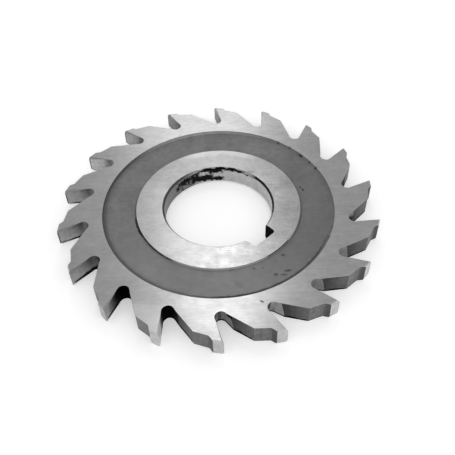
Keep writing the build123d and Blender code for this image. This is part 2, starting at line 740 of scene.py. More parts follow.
    @property
    def passes(self) -> tuple[ToolBuilder, ...]:
        """The cuts in the order in which they are made."""
        return (self.rake_bars, self.reliefs, self.land_bars, self.keyway)


@dataclass(frozen=True)
class Spot:
    """Sockets that tell where on the cutter a shaded point lies, in millimetres."""

    point: bpy.types.NodeSocket
    radius: bpy.types.NodeSocket
    height: bpy.types.NodeSocket

    @classmethod
    def measure(cls, tree: bpy.types.NodeTree) -> "Spot":
        """Adds the nodes that measure the place.

        Args:
            tree: The material's node tree.

        Returns:
            The sockets.
        """
        where = add_node(tree, "ShaderNodeTexCoord").outputs["Object"]
        point = add_node(
            tree, "ShaderNodeMapping", {"Vector": where, "Scale": (1 / MM, 1 / MM, 1 / MM)}
        )
        flat = add_node(
            tree, "ShaderNodeVectorMath", {0: point, 1: (1.0, 1.0, 0.0)}, operation="MULTIPLY"
        )
        radius = add_node(tree, "ShaderNodeVectorMath", {0: flat}, operation="LENGTH")
        height = add_node(tree, "ShaderNodeSeparateXYZ", {0: point}).outputs["Z"]
        return cls(point.outputs[0], radius.outputs["Value"], height)


@dataclass(frozen=True)
class Grain:
    """A stretched noise, with the real size of its grains in millimetres."""

    length: float
    width: float
    share: float  # how much of the finish's tone it makes up
    turn: float = GRIND_TURN
    upright: bool = False
    detail: float = 3.0

    def value(self, tree: bpy.types.NodeTree, spot: Spot) -> bpy.types.NodeSocket:
        """Adds the noise.

        Args:
            tree: The material's node tree.
            spot: Where the point lies.

        Returns:
            The noise's value, 0.5 on average.
        """
        cross = (self.width, self.width)
        size = (*cross, self.length) if self.upright else (self.length, *cross)
        grid = add_node(
            tree,
            "ShaderNodeMapping",
            {"Vector": spot.point, "Rotation": (0.0, 0.0, math.radians(self.turn)), "Scale": size},
            vector_type="TEXTURE",
        )
        noise = {"Vector": grid, "Scale": 1.0, "Detail": self.detail, "Roughness": NOISE_ROUGHNESS}
        return add_node(tree, "ShaderNodeTexNoise", noise).outputs[0]


def window(
    tree: bpy.types.NodeTree, value: bpy.types.NodeSocket, low: float, high: float, soft: float
) -> bpy.types.NodeSocket:
    """Adds a mask that is 1 between two levels of a value and fades out beyond them.

    Args:
        tree: The material's node tree.
        value: The value.
        low: The lower level.
        high: The upper level.
        soft: How wide the fade is.

    Returns:
        The mask.
    """
    off = add_node(tree, "ShaderNodeMath", {0: value, 1: (low + high) / 2}, operation="SUBTRACT")
    size = add_node(tree, "ShaderNodeMath", {0: off}, operation="ABSOLUTE")
    half = (high - low) / 2
    fade = {"Value": size, 1: half - soft / 2, 2: half + soft / 2, 3: 1.0, 4: 0.0}
    return add_node(tree, "ShaderNodeMapRange", fade, interpolation_type="SMOOTHSTEP").outputs[0]


@dataclass(frozen=True)
class Arc:
    """A part of the way round the bore axis, in degrees."""

    middle: float
    half: float  # to both sides of the middle
    soft: float  # how wide its ends fade out


@dataclass(frozen=True)
class StainAndPaintedLight:
    """A patch of residue, oxide, wear, painted light or painted shade, with soft, ragged edges, its bounds
    in millimetres.
    """

    colour: str
    strength: float
    arc: Arc | None = None  # the stain goes all the way round where there is none
    inner: float = 0.0
    outer: float = 50.0
    low: float = -3.0
    high: float = 8.0
    soft: float = 0.2
    ragged: float = 0.0  # how far its edges wander
    ragged_size: float = 1.5
    roughness: float = 0.5

    def mask(self, tree: bpy.types.NodeTree, spot: Spot) -> bpy.types.NodeSocket:
        """Adds the nodes that tell how much of the patch covers a point.

        Args:
            tree: The material's node tree.
            spot: Where the point lies.

        Returns:
            The cover, from 0 to 1.
        """
        noise = Grain(self.ragged_size, self.ragged_size, 1.0).value(tree, spot)
        shift = {0: noise, 1: 2 * self.ragged, 2: -self.ragged}
        wander = add_node(tree, "ShaderNodeMath", shift, operation="MULTIPLY_ADD")
        cover = self.strength
        bounds = ((spot.radius, self.inner, self.outer), (spot.height, self.low, self.high))
        for value, low, high in bounds:
            moved = add_node(tree, "ShaderNodeMath", {0: value, 1: wander}, operation="ADD")
            inside = window(tree, moved.outputs[0], low, high, self.soft)
            cover = add_node(tree, "ShaderNodeMath", {0: cover, 1: inside}, operation="MULTIPLY")
        if self.arc:
            middle, half, soft = (math.radians(a) for a in astuple(self.arc))
            turned = {"Vector": spot.point, "Rotation": (0.0, 0.0, middle)}
            ahead = add_node(tree, "ShaderNodeMapping", turned, vector_type="TEXTURE")
            axes = add_node(tree, "ShaderNodeSeparateXYZ", {0: ahead}).outputs
            turn = add_node(tree, "ShaderNodeMath", {0: axes[1], 1: axes[0]}, operation="ARCTAN2")
            inside = window(tree, turn.outputs[0], -half, half, soft)
            cover = add_node(tree, "ShaderNodeMath", {0: cover, 1: inside}, operation="MULTIPLY")
        return cover.outputs[0]


@dataclass(frozen=True)
class Mark:
    """A small mark on the upper side: a spot of residue, a scratch or the dark of a nick."""

    radius: float
    angle: float
    length: float
    breadth: float
    turn: float = 0.0
    colour: str = "#202020"
    strength: float = 0.8
    roughness: float = 0.6

    def mask(self, tree: bpy.types.NodeTree, spot: Spot) -> bpy.types.NodeSocket:
        """Adds the nodes that tell how much of the mark covers a point.

        Args:
            tree: The material's node tree.
            spot: Where the point lies.

        Returns:
            The cover, from 0 to 1.
        """
        centre = place(self.radius, self.angle, WIDTH) / MM
        grid = add_node(
            tree,
            "ShaderNodeMapping",
            {
                "Vector": spot.point,
                "Location": centre,
                "Rotation": (0.0, 0.0, math.radians(self.turn)),
                "Scale": (self.length / 2, self.breadth / 2, WIDTH / 2),
            },
            vector_type="TEXTURE",
        )
        off = add_node(tree, "ShaderNodeVectorMath", {0: grid}, operation="LENGTH")
        outside, inside = MARK_EDGE
        fade = {"Value": off.outputs[1], 1: outside, 2: inside, 3: 0.0, 4: self.strength}
        return add_node(tree, "ShaderNodeMapRange", fade, interpolation_type="SMOOTHSTEP").outputs[0]


@dataclass(frozen=True)
class Finish:
    """A metal finish: its tone, its grains, and the stains, marks and painted light and shade laid on it.
    """

    name: str
    light: str
    dark: str
    roughness: float = 0.36
    rubbed: float = 0.06  # how much smoother the light places are than the dark ones
    metallic: float = 1.0
    anisotropy: float = 0.0
    grains: Sequence[Grain] = (Grain(6.0, 0.35, 0.5), Grain(2.6, 2.6, 0.5))
    contrast: float = 1.0  # how steeply the grains turn from dark to light
    bump: float = 0.1
    covers: Sequence[StainAndPaintedLight | Mark] = ()

    def material(self) -> bpy.types.Material:
        """Builds the finish's material.

        Returns:
            The material.
        """
        made = bpy.data.materials.new(self.name)
        tree = empty_tree(made)
        spot = Spot.measure(tree)
        shader = add_node(tree, "ShaderNodeBsdfPrincipled", {"Metallic": self.metallic})
        add_node(tree, "ShaderNodeOutputMaterial", {"Surface": shader})
        noises = [grain.value(tree, spot) for grain in self.grains]
        self.colour(tree, shader, spot, self.tone(tree, noises))
        raised = {"Height": noises[0], "Strength": self.bump, "Distance": RELIEF_HEIGHT * MM}
        bump = add_node(tree, "ShaderNodeBump", raised)
        tree.links.new(bump.outputs[0], shader.inputs["Normal"])
        if self.anisotropy:
            self.comb(tree, shader)
        return made

    def tone(
        self, tree: bpy.types.NodeTree, noises: Sequence[bpy.types.NodeSocket]
    ) -> bpy.types.NodeSocket:
        """Adds the grains up to one tone.

        Args:
            tree: The material's node tree.
            noises: The grains' values.

        Returns:
            The tone, from 0 for the dark colour to 1 for the light one.
        """
        gain = TONE_GAIN * self.contrast
        total = 0.5 - gain * sum(grain.share for grain in self.grains) / 2
        for noise, grain in zip(noises, self.grains):
            part = {0: noise, 1: gain * grain.share, 2: total}
            total = add_node(tree, "ShaderNodeMath", part, operation="MULTIPLY_ADD")
        return add_node(tree, "ShaderNodeClamp", {0: total}).outputs[0]

    def colour(
        self,
        tree: bpy.types.NodeTree,
        shader: bpy.types.Node,
        spot: Spot,
        tone: bpy.types.NodeSocket,
    ) -> None:
        """Colours the shader by the tone, and lays the covers on it one after the other.

        Args:
            tree: The material's node tree.
            shader: Its Principled shader.
            spot: Where the point lies.
            tone: The grains' tone.
        """
        ends = {"Factor": tone, 6: linear(self.dark), 7: linear(self.light)}
        colour = add_node(tree, "ShaderNodeMix", ends, data_type="RGBA").outputs[2]
        rubbed = {0: tone, 1: -self.rubbed, 2: self.roughness + self.rubbed / 2}
        roughness = add_node(tree, "ShaderNodeMath", rubbed, operation="MULTIPLY_ADD").outputs[0]
        for cover in self.covers:
            mask = cover.mask(tree, spot)
            shades = {"Factor": mask, 6: colour, 7: linear(cover.colour)}
            colour = add_node(tree, "ShaderNodeMix", shades, data_type="RGBA").outputs[2]
            levels = {"Factor": mask, 2: roughness, 3: cover.roughness}
            roughness = add_node(tree, "ShaderNodeMix", levels).outputs[0]
        tree.links.new(colour, shader.inputs["Base Color"])
        tree.links.new(roughness, shader.inputs["Roughness"])

    def comb(self, tree: bpy.types.NodeTree, shader: bpy.types.Node) -> None:
        """Spreads the gloss across the grinding lines.

        Args:
            tree: The material's node tree.
            shader: Its Principled shader.
        """
        shader.inputs["Anisotropic"].default_value = self.anisotropy
        away = math.radians(GRIND_TURN + 90)
        grain = add_node(
            tree,
            "ShaderNodeVectorTransform",
            {"Vector": (math.cos(away), math.sin(away), 0.0)},
            vector_type="VECTOR",
            convert_from="OBJECT",
            convert_to="WORLD",
        )
        tree.links.new(grain.outputs[0], shader.inputs["Tangent"])


# Grain lengths and widths in millimetres. The lines of the wheels and cutters that made these
# surfaces are about 0.02 mm apart, too fine to be seen; the grains stand for bundles of them.
GRINDING = (
    Grain(5.0, 0.3, 0.3),
    Grain(1.6, 0.18, 0.3),
    Grain(1.5, 1.2, 0.3),
    Grain(4.5, 3.5, 0.3),
    Grain(14.0, 10.0, 0.3),
)
CLOUDED = (
    Grain(5.0, 0.35, 0.25),
    Grain(1.2, 0.5, 0.3),
    Grain(1.6, 1.6, 0.35),
    Grain(4.5, 4.0, 0.45),
    Grain(12.0, 10.0, 0.3),
)
TURNING = (Grain(3.0, 0.5, 0.3), Grain(1.6, 1.6, 0.5), Grain(7.0, 7.0, 0.6))
UPRIGHT = (
    Grain(8.0, 0.22, 0.5, upright=True),
    Grain(1.0, 1.0, 0.5),
    Grain(4.0, 4.0, 0.3),
)

# Chip dust baked into the gullets, deepened by painted shade: nearly black and fading out along the teeth
DUST_AND_SHADE = partial(StainAndPaintedLight, roughness=0.9)
GULLET_DUST_AND_SHADE = (
    DUST_AND_SHADE("#010101", 1.0, Arc(-64.0, 5.4, 2.0), outer=35.6, soft=3.0, ragged=1.0),
    DUST_AND_SHADE("#040404", 0.95, Arc(-59.0, 5.0, 2.0), outer=37.4, high=1.0, soft=0.5, ragged=0.4),
    DUST_AND_SHADE("#010101", 1.0, Arc(-82.5, 6.8, 2.0), outer=36.2, soft=3.4, ragged=1.0),
    DUST_AND_SHADE("#141414", 0.7, Arc(-101.0, 3.4, 2.0), outer=33.6, low=2.6, soft=1.6, ragged=1.2),
    DUST_AND_SHADE("#040404", 0.95, Arc(-102.5, 6.0, 3.0), outer=39.4, high=1.15, soft=0.5, ragged=0.5),
    DUST_AND_SHADE("#040404", 0.85, Arc(232.0, 18.0, 6.0), outer=39.6, high=0.75, soft=0.4, ragged=0.5),
    StainAndPaintedLight("#040404", 1.0, Arc(-39.3, 0.9, 0.6), 32.4, 34.6, 3.9, soft=0.6, ragged=0.6, roughness=0.8),
    DUST_AND_SHADE("#040404", 0.9, Arc(-41.0, 6.0, 2.0), outer=36.5, high=0.9, soft=0.5, ragged=0.5),
    DUST_AND_SHADE("#060606", 0.85, Arc(58.0, 5.5, 2.0), outer=35.2, soft=2.4, ragged=0.8),
    DUST_AND_SHADE("#040404", 0.9, Arc(37.5, 4.4, 2.0), outer=34.6, high=3.6, soft=1.6, ragged=1.2),
)
# A nearly black band along the lower edges of the teeth: painted contact shade, with some dust
FOOT_SHADE_AND_DUST = DUST_AND_SHADE("#040404", 0.95, outer=37.2, high=0.55, soft=0.4, ragged=0.5)

# Oil dried black on the bore's wall: a band under the upper rim, streaks lower down, a smear
OIL_STREAKS = tuple(
    StainAndPaintedLight("#020202", 1.0, Arc(angle, half, 5.0), 0.0, 50.0, low, high, 0.4, ragged, 0.8, 0.8)
    for angle, half, low, high, ragged in (
        (140.0, 8.0, 3.4, 6.0, 1.5),
        (149.0, 16.0, 4.2, 6.0, 1.6),
        (112.0, 18.0, 4.25, 6.0, 1.4),
        (172.0, 13.0, 2.6, 4.2, 2.2),
        (156.0, 13.0, 1.1, 3.0, 1.5),
        (140.0, 9.0, 0.7, 1.9, 1.0),
        (181.0, 10.0, 1.8, 4.0, 4.0),
    )
)

FLOOR_MARKS = (
    Mark(22.0, 62.9, 0.9, 0.36, -14.0, "#101010", 0.9),
    Mark(22.3, 60.1, 1.3, 0.44, -10.0, "#101010", 0.95),
    Mark(22.27, -0.7, 1.1, 0.9, 60.0, "#404040", 0.7),
    Mark(25.68, -12.7, 1.1, 1.0, 30.0, "#404040", 0.7),
    Mark(26.69, -9.4, 1.8, 0.7, 47.0, "#404040", 0.6),
    Mark(26.35, -6.2, 1.9, 0.8, 55.0, "#303030", 0.7),
    Mark(21.81, -21.4, 0.9, 0.6, 0.0, "#404040", 0.5),
    Mark(22.58, -16.4, 0.7, 0.5, 0.0, "#404040", 0.5),
    Mark(20.75, -35.1, 1.0, 0.4, 50.0, "#404040", 0.6),
    Mark(25.27, -32.8, 2.4, 1.6, 20.0, "#404040", 0.2),
)

# Every surface is the same hardened tool steel, and differs in how it was made and in the light and shade
# painted on it
FINISHES: dict[Surface, Finish] = {
    # Ring ground flat in one pass: bright, with fine straight lines that spread the gloss, and a painted
    # highlight on its near outer part.
    Surface.RING_FACE: Finish(
        "tool_steel_surface_ground",
        "#d0d0d0",
        "#acacac",
        roughness=0.29,
        rubbed=0.03,
        anisotropy=0.65,
        grains=GRINDING,
        bump=0.05,
        covers=(
            # Painted highlight: a white patch on the near outer part of the ring
            StainAndPaintedLight(
                "#ffffff",
                0.35,
                Arc(-68.0, 8.0, 6.0),
                inner=34.0,
                soft=5.0,
                ragged=1.0,
                ragged_size=2.5,
                roughness=0.29,
            ),
            Mark(31.4, -25.7, 1.0, 0.5, 20.0, "#606060"),
        ),
    ),
    # Hub ground in the same pass: the same lines, clouded by handling, with painted shade on its far side
    # and painted highlights on its far rim, its near side and its far left.
    Surface.HUB_FACE: Finish(
        "tool_steel_hub_ground",
        "#c6c6c6",
        "#9c9c9c",
        roughness=0.28,
        rubbed=0.03,
        anisotropy=0.6,
        grains=CLOUDED,
        contrast=1.1,
        bump=0.04,
        covers=(
            # Painted shade on the far side
            StainAndPaintedLight("#909090", 0.42, Arc(143.0, 52.0, 30.0), roughness=0.3),
            # Painted highlights on the far rim, the near side and the far left
            StainAndPaintedLight(
                "#f4f4f4",
                0.2,
                Arc(136.0, 28.0, 20.0),
                inner=18.8,
                soft=1.6,
                ragged=1.2,
                ragged_size=2.5,
                roughness=0.3,
            ),
            StainAndPaintedLight("#e0e0e0", 0.22, Arc(270.0, 36.0, 26.0), roughness=0.28),
            StainAndPaintedLight("#e0e0e0", 0.2, Arc(226.0, 24.0, 24.0), roughness=0.28),
            Mark(14.65, 99.3, 1.6, 0.2, 50.0, "#303030"),
            Mark(14.3, 103.0, 1.4, 0.2, 60.0, "#303030"),
        ),
    ),
    # The recess keeps the oxide of hardening: satin and faintly blotched, with painted light and shade by
    # side, at the hub's foot and along its outer rim.
    Surface.RECESS_FLOOR: Finish(
        "tool_steel_recess_blackened",
        "#828282",
        "#686868",
        roughness=0.5,
        metallic=0.35,
        grains=TURNING,
        covers=(
            # Painted shade on the right side, painted light on the near side
            StainAndPaintedLight("#646464", 0.4, Arc(30.0, 50.0, 50.0)),
            StainAndPaintedLight("#9c9c9c", 0.35, Arc(-58.0, 56.0, 50.0), ragged=2.0, ragged_size=6.0),
            # Painted shade in the corner at the hub's foot
            StainAndPaintedLight("#404040", 0.55, Arc(66.0, 54.0, 30.0), 20.0, 20.95, soft=0.5, ragged=0.2),
            StainAndPaintedLight("#404040", 0.45, Arc(210.0, 54.0, 40.0), 20.0, 20.95, soft=0.5, ragged=0.2),
            # Painted shade along the outer rim, with some residue
            StainAndPaintedLight("#1c1c1c", 0.75, Arc(-14.0, 34.0, 26.0), inner=27.95, soft=0.35, ragged=0.35),
            StainAndPaintedLight("#2c2c2c", 0.45, Arc(-80.0, 60.0, 40.0), inner=27.95, soft=0.35, ragged=0.35),
            StainAndPaintedLight("#404040", 0.25, Arc(235.0, 60.0, 30.0), inner=27.5, soft=1.3, ragged=0.2),
            StainAndPaintedLight("#101010", 0.9, Arc(-108.0, 29.0, 6.0), 20.0, 20.66, soft=0.2, ragged=0.2),
            StainAndPaintedLight("#080808", 0.95, Arc(-114.5, 8.5, 4.0), 20.0, 20.98, soft=0.2, ragged=0.25),
            *FLOOR_MARKS,
        ),
    ),
    # The recess's wall: pale, with painted shade on its left and right sides, and dirt in its nicks.
    Surface.RECESS_WALL: Finish(
        "tool_steel_recess_wall_blackened",
        "#a0a0a0",
        "#888888",
        roughness=0.5,
        metallic=0.3,
        grains=TURNING,
        covers=(
            # Painted shade on the left and right sides of the wall
            StainAndPaintedLight("#202020", 0.8, Arc(240.0, 62.0, 40.0), soft=0.4, ragged=0.2),
            StainAndPaintedLight("#505050", 0.6, Arc(52.0, 66.0, 40.0), ragged=0.2),
            *(nick.dirt() for nick in NICKS),
        ),
    ),
    # The hub's low wall is blackened too, with painted light making it pale towards the viewer, and a dark
    # line further left.
    Surface.HUB_WALL: Finish(
        "tool_steel_hub_wall_blackened",
        "#8c8c8c",
        "#747474",
        roughness=0.5,
        metallic=0.3,
        grains=TURNING,
        covers=(
            # Painted light on the side towards the viewer
            StainAndPaintedLight("#d8d8d8", 0.42, Arc(-32.0, 60.0, 20.0)),
            StainAndPaintedLight("#060606", 0.95, Arc(-107.0, 32.0, 6.0), high=4.8, soft=0.2, ragged=0.5),
        ),
    ),
    # Arbor wear polished the bore, and oil dried black on it in ragged streaks.
    Surface.BORE_WALL: Finish(
        "tool_steel_bore_arbor_worn",
        "#c4c4c4",
        "#a8a8a8",
        roughness=0.4,
        metallic=0.7,
        grains=TURNING,
        covers=(
            StainAndPaintedLight("#484848", 0.7, Arc(205.0, 42.0, 20.0), ragged=0.5),
            *OIL_STREAKS,
        ),
    ),
    # The bevel was turned before hardening: a dull ring, with oil dried black at its inner edge.
    Surface.BORE_BEVEL: Finish(
        "tool_steel_bore_bevel_turned",
        "#a8a8a8",
        "#888888",
        roughness=0.4,
        metallic=0.8,
        grains=TURNING,
        covers=(
            StainAndPaintedLight("#080808", 0.95, Arc(64.0, 30.0, 8.0), outer=13.95, soft=0.1, ragged=0.1, roughness=0.6),
            StainAndPaintedLight("#020202", 1.0, Arc(134.0, 26.0, 8.0), outer=13.85, soft=0.2, ragged=0.6, roughness=0.8),
            StainAndPaintedLight("#202020", 0.8, Arc(210.0, 40.0, 20.0), soft=0.2, ragged=0.3, roughness=0.6),
        ),
    ),
    # A broach left upright lines in the keyway: matt and darker than the bore.
    Surface.KEYWAY: Finish(
        "tool_steel_keyway_broached",
        "#848484",
        "#646464",
        roughness=0.5,
        grains=UPRIGHT,
        # The black on one wall is partly residue and partly painted shade
        covers=(StainAndPaintedLight("#040404", 1.0, Arc(15.0, 11.0, 3.0), soft=0.2, ragged=0.2, roughness=0.8),),
    ),
    # The lands were ground last: the brightest strips of the teeth.
    Surface.LAND: Finish(
        "tool_steel_land_ground",
        "#cccccc",
        "#a8a8a8",
        grains=UPRIGHT,
        covers=(StainAndPaintedLight("#787878", 0.3, Arc(-83.5, 4.0, 2.0), ragged=0.5),),
    ),
    # A stone drawn along the land leaves a soft, pale bevel.
    Surface.LAND_BEVEL: Finish(
        "tool_steel_land_bevel_stoned",
        "#d0d0d0",
        "#acacac",
        roughness=0.5,
        grains=GRINDING,
        covers=(StainAndPaintedLight("#606060", 0.3, Arc(-84.0, 6.0, 3.0), ragged=0.5),),
    ),
    # The same stone on the rake face: a broad satin bevel, with painted light on the nearest teeth and
    # painted shade on the right and left ones.
    Surface.RAKE_BEVEL: Finish(
        "tool_steel_rake_bevel_stoned",
        "#b4b4b4",
        "#9a9a9a",
        roughness=0.5,
        metallic=0.6,
        grains=GRINDING,
        covers=(
            # Painted highlight on the nearest teeth, painted shade on the right and left ones
            StainAndPaintedLight("#f0f0f0", 0.8, Arc(-55.0, 20.0, 10.0)),
            StainAndPaintedLight("#808080", 0.8, Arc(10.0, 36.0, 10.0)),
            StainAndPaintedLight("#888888", 0.9, Arc(205.0, 58.0, 10.0)),
        ),
    ),
    # The rake faces were ground up and down: even grey, with painted shade on the far and left teeth and
    # deepening towards the root.
    Surface.RAKE_FACE: Finish(
        "tool_steel_rake_face_ground",
        "#c8c8c8",
        "#989898",
        grains=UPRIGHT,
        covers=(
            # Painted shade on the far and left teeth
            StainAndPaintedLight("#585858", 0.65, Arc(150.0, 27.5, 12.0)),
            StainAndPaintedLight("#747474", 0.4, Arc(250.0, 36.0, 10.0), ragged=1.0, ragged_size=2.5),
            # Painted shade deepening towards the root, then a painted dark reflection along the far-left
            # cutting edges
            StainAndPaintedLight("#383838", 0.62, outer=35.0, soft=4.4, ragged=0.8),
            StainAndPaintedLight("#181818", 0.7, Arc(205.0, 42.0, 6.0), 39.7, soft=0.2, ragged=0.15),
            # Painted shade towards one near root, and painted contact shade with some dust at its foot
            StainAndPaintedLight("#2c2c2c", 0.6, Arc(-82.0, 5.0, 2.0), outer=38.4, soft=1.6, ragged=1.0),
            DUST_AND_SHADE("#040404", 0.95, Arc(-82.0, 5.0, 2.0), outer=39.4, high=1.25, soft=0.4),
            FOOT_SHADE_AND_DUST,
            *GULLET_DUST_AND_SHADE,
        ),
    ),
    # The backs were left as the milling cutter made them: matt, with upright lines, and painted shade
    # towards the root, on the inner facet and on the step.
    Surface.TOOTH_BACK: Finish(
        "tool_steel_tooth_back_milled",
        "#848484",
        "#606060",
        roughness=0.5,
        grains=UPRIGHT,
        covers=(
            # Painted shade towards the root, on the inner facet and on the step
            StainAndPaintedLight("#202020", 0.6, outer=35.2, soft=3.4, ragged=0.5),
            StainAndPaintedLight("#303030", 0.35, outer=37.5, soft=0.2),
            StainAndPaintedLight("#303030", 0.6, inner=38.55, soft=0.9, ragged=0.1),
            FOOT_SHADE_AND_DUST,
            *GULLET_DUST_AND_SHADE,
        ),
    ),
    # The root relief was ground out after milling: paler than the back as a painted reflection of the
    # bright floor, with painted shade on some roots, and dark where dust baked in.
    Surface.ROOT: Finish(
        "tool_steel_root_ground_relief",
        "#c8c8c8",
        "#a2a2a2",
        roughness=0.5,
        metallic=0.6,
        grains=UPRIGHT,
        covers=(
            # Painted shade in the deepest part of the root, then on the left, right and nearest roots
            StainAndPaintedLight("#303030", 0.3, outer=32.1, soft=0.8, ragged=0.3),
            StainAndPaintedLight("#2c2c2c", 0.75, Arc(210.0, 58.0, 10.0), ragged=0.5),
            StainAndPaintedLight("#484848", 0.4, Arc(15.0, 30.0, 10.0), ragged=0.5),
            StainAndPaintedLight("#484848", 0.55, Arc(-45.0, 8.0, 4.0), ragged=0.5),
            FOOT_SHADE_AND_DUST,
            *GULLET_DUST_AND_SHADE,
        ),
    ),
}


@dataclass
class SlottingCutter:
    """The whole cutter, one piece of hardened steel."""

    name: str = "cutter_body"
    teeth: ToothRing = field(default_factory=ToothRing)
    body: TurnedBody = field(default_factory=TurnedBody)
    cuts: CutAways = field(default_factory=CutAways)
    crease_depth: float = 0.008  # a relief face lies at least this far behind the tooth back
    rim_room: float = 0.3  # the turned body's faces reach this far outside the recess
    edge_room: float = 0.1  # and a broken edge this far to both sides of it
    root_room: float = 0.03
    land_room: float = 0.5
    overhang: float = -0.02  # Z of a normal under which a face leans over
    bevel_facing: float = 0.2  # how squarely a rake bevel faces forward
    rake_facing: float = 0.6  # and a rake face
    land_facing: float = 0.8  # how squarely a land faces outward

    def build(self) -> bpy.types.Object:
        """Builds, dresses and seats the cutter.

        Returns:
            The finished object.
        """
        blank = add_object(self.name, self.blank_mesh())
        for build_tool in self.cuts.passes:
            self.cut(blank, add_object("cut_away", self.tool_mesh(build_tool)))
        self.dress(blank)
        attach(blank, "root")
        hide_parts(CAD_NODE)
        return blank

    def blank_mesh(self) -> bpy.types.Mesh:
        """Builds the teeth and the turned body as one closed mesh.

        Returns:
            The mesh.
        """
        bm = bmesh.new()
        self.teeth.build(bm)
        self.body.build(bm, self.teeth.seam_angle)
        bmesh.ops.remove_doubles(bm, verts=bm.verts, dist=MERGE * MM)
        bmesh.ops.recalc_face_normals(bm, faces=bm.faces)
        self.teeth.break_edges(bm)
        self.body.dent_rim(bm)
        return mesh_from(bm, self.name)

    def tool_mesh(self, build_tool: ToolBuilder) -> bpy.types.Mesh:
        """Builds the mesh of one pass of cuts.

        Args:
            build_tool: The method that builds what is cut away.

        Returns:
            The mesh.
        """
        bm = bmesh.new()
        build_tool(bm, self.teeth)
        bmesh.ops.recalc_face_normals(bm, faces=bm.faces)
        return mesh_from(bm, "cut_away")

    def cut(self, blank: bpy.types.Object, tool: bpy.types.Object) -> None:
        """Cuts one object out of another, and removes the tool.

        Args:
            blank: The object that is cut.
            tool: The object that cuts.
        """
        difference = blank.modifiers.new("cut", "BOOLEAN")
        difference.operation = "DIFFERENCE"
        difference.solver = "EXACT"
        difference.object = tool
        evaluated = blank.evaluated_get(bpy.context.evaluated_depsgraph_get())
        result = bpy.data.meshes.new_from_object(evaluated)
        blank.modifiers.clear()
        old, blank.data = blank.data, result
        result.name = self.name
        bpy.data.meshes.remove(old)
        tool_mesh = tool.data
        bpy.data.objects.remove(tool)
        bpy.data.meshes.remove(tool_mesh)

    def surface_of(self, face: bmesh.types.BMFace) -> Surface:
        """Tells which surface of the cutter a face belongs to.

        Args:
            face: A face of the finished mesh.

        Returns:
            Its surface.
        """
        centre = face.calc_center_median() / MM
        if centre.xy.length < self.body.recess_radius + self.rim_room:
            return self.body_surface(centre, face.normal)
        return self.tooth_surface(centre, face.normal)

    def body_surface(self, centre: Vector, normal: Vector) -> Surface:
        """Sorts a face of the turned body.

        Args:
            centre: The face's middle in millimetres.
            normal: Its normal.

        Returns:
            The surface it belongs to.
        """
        body = self.body
        radius, tilt = centre.xy.length, abs(normal.z)
        hub_rim = body.hub_radius + self.edge_room
        in_keyway = centre.x > 0 and abs(centre.y) < self.cuts.keyway_width / 2 + SLACK
        if in_keyway and tilt < PLUMB and abs(radius - body.bore_radius) > SLACK / 2:
            return Surface.KEYWAY
        if tilt < FLAT and radius < body.bore_radius + body.bore_bevel:
            return Surface.BORE_BEVEL if tilt > LEANING else Surface.BORE_WALL
        if tilt > FLAT and min(centre.z, body.width - centre.z) > body.recess_depth - SLACK:
            return Surface.RECESS_FLOOR
        if tilt > FLAT and not hub_rim < radius < body.recess_radius:
            return Surface.HUB_FACE if radius < hub_rim else Surface.RING_FACE
        middle = (body.hub_radius + body.recess_radius) / 2
        return Surface.HUB_WALL if radius < middle else Surface.RECESS_WALL

    def tooth_surface(self, centre: Vector, normal: Vector) -> Surface:
        """Sorts a face of the toothed ring.

        Args:
            centre: The face's middle in millimetres.
            normal: Its normal.

        Returns:
            The surface it belongs to.
        """
        if abs(normal.z) > FLAT:
            return Surface.RING_FACE
        teeth = self.teeth
        radius = centre.xy.length
        outward = centre.xy.to_3d().normalized()
        forward = normal.dot(UP.cross(outward))
        lag = (teeth.first_tip_angle - math.degrees(math.atan2(centre.y, centre.x))) % teeth.pitch
        if abs(normal.z) > LEANING:
            return Surface.RAKE_BEVEL if forward > self.bevel_facing else Surface.LAND_BEVEL
        point = place(radius, teeth.first_tip_angle - lag + teeth.pitch)
        back = (teeth.corner_ahead - teeth.root_start).normalized()
        behind_back = abs(back.cross(point - teeth.root_start).z) > self.crease_depth * MM
        near_root = (point - teeth.root).length < (teeth.root_radius + self.root_room) * MM
        if near_root or (normal.z < self.overhang and behind_back and forward < 0):
            return Surface.ROOT
        before_step = lag < teeth.land_end_lag + self.edge_room
        on_land = radius > teeth.land_end_radius - self.land_room and before_step
        if on_land and normal.dot(outward) > self.land_facing:
            return Surface.LAND
        return Surface.RAKE_FACE if forward > self.rake_facing else Surface.TOOTH_BACK

    def dress(self, piece: bpy.types.Object) -> None:
        """Sorts the faces, sets which edges are crisp and gives each surface its finish.

        Args:
            piece: The finished cutter.
        """
        order = list(Surface)
        counts = dict.fromkeys((surface.name for surface in order), 0)
        piece.data.materials.clear()
        for surface in order:
            piece.data.materials.append(FINISHES[surface].material())
        bm = bmesh.new()
        bm.from_mesh(piece.data)
        for face in bm.faces:
            surface = self.surface_of(face)
            counts[surface.name] += 1
            face.material_index = order.index(surface)
            face.smooth = True
        for edge in bm.edges:
            one_surface = len({face.material_index for face in edge.link_faces}) == 1
            edge.smooth = one_surface and edge.calc_face_angle() < math.radians(CRISP_ANGLE)
        bm.to_mesh(piece.data)
        bm.free()
        log.info("faces of each surface: %s", counts)
        weighted = piece.modifiers.new("face_weighted_normals", "WEIGHTED_NORMAL")
        weighted.mode = "FACE_AREA"
        weighted.weight = 50
        weighted.keep_sharp = True


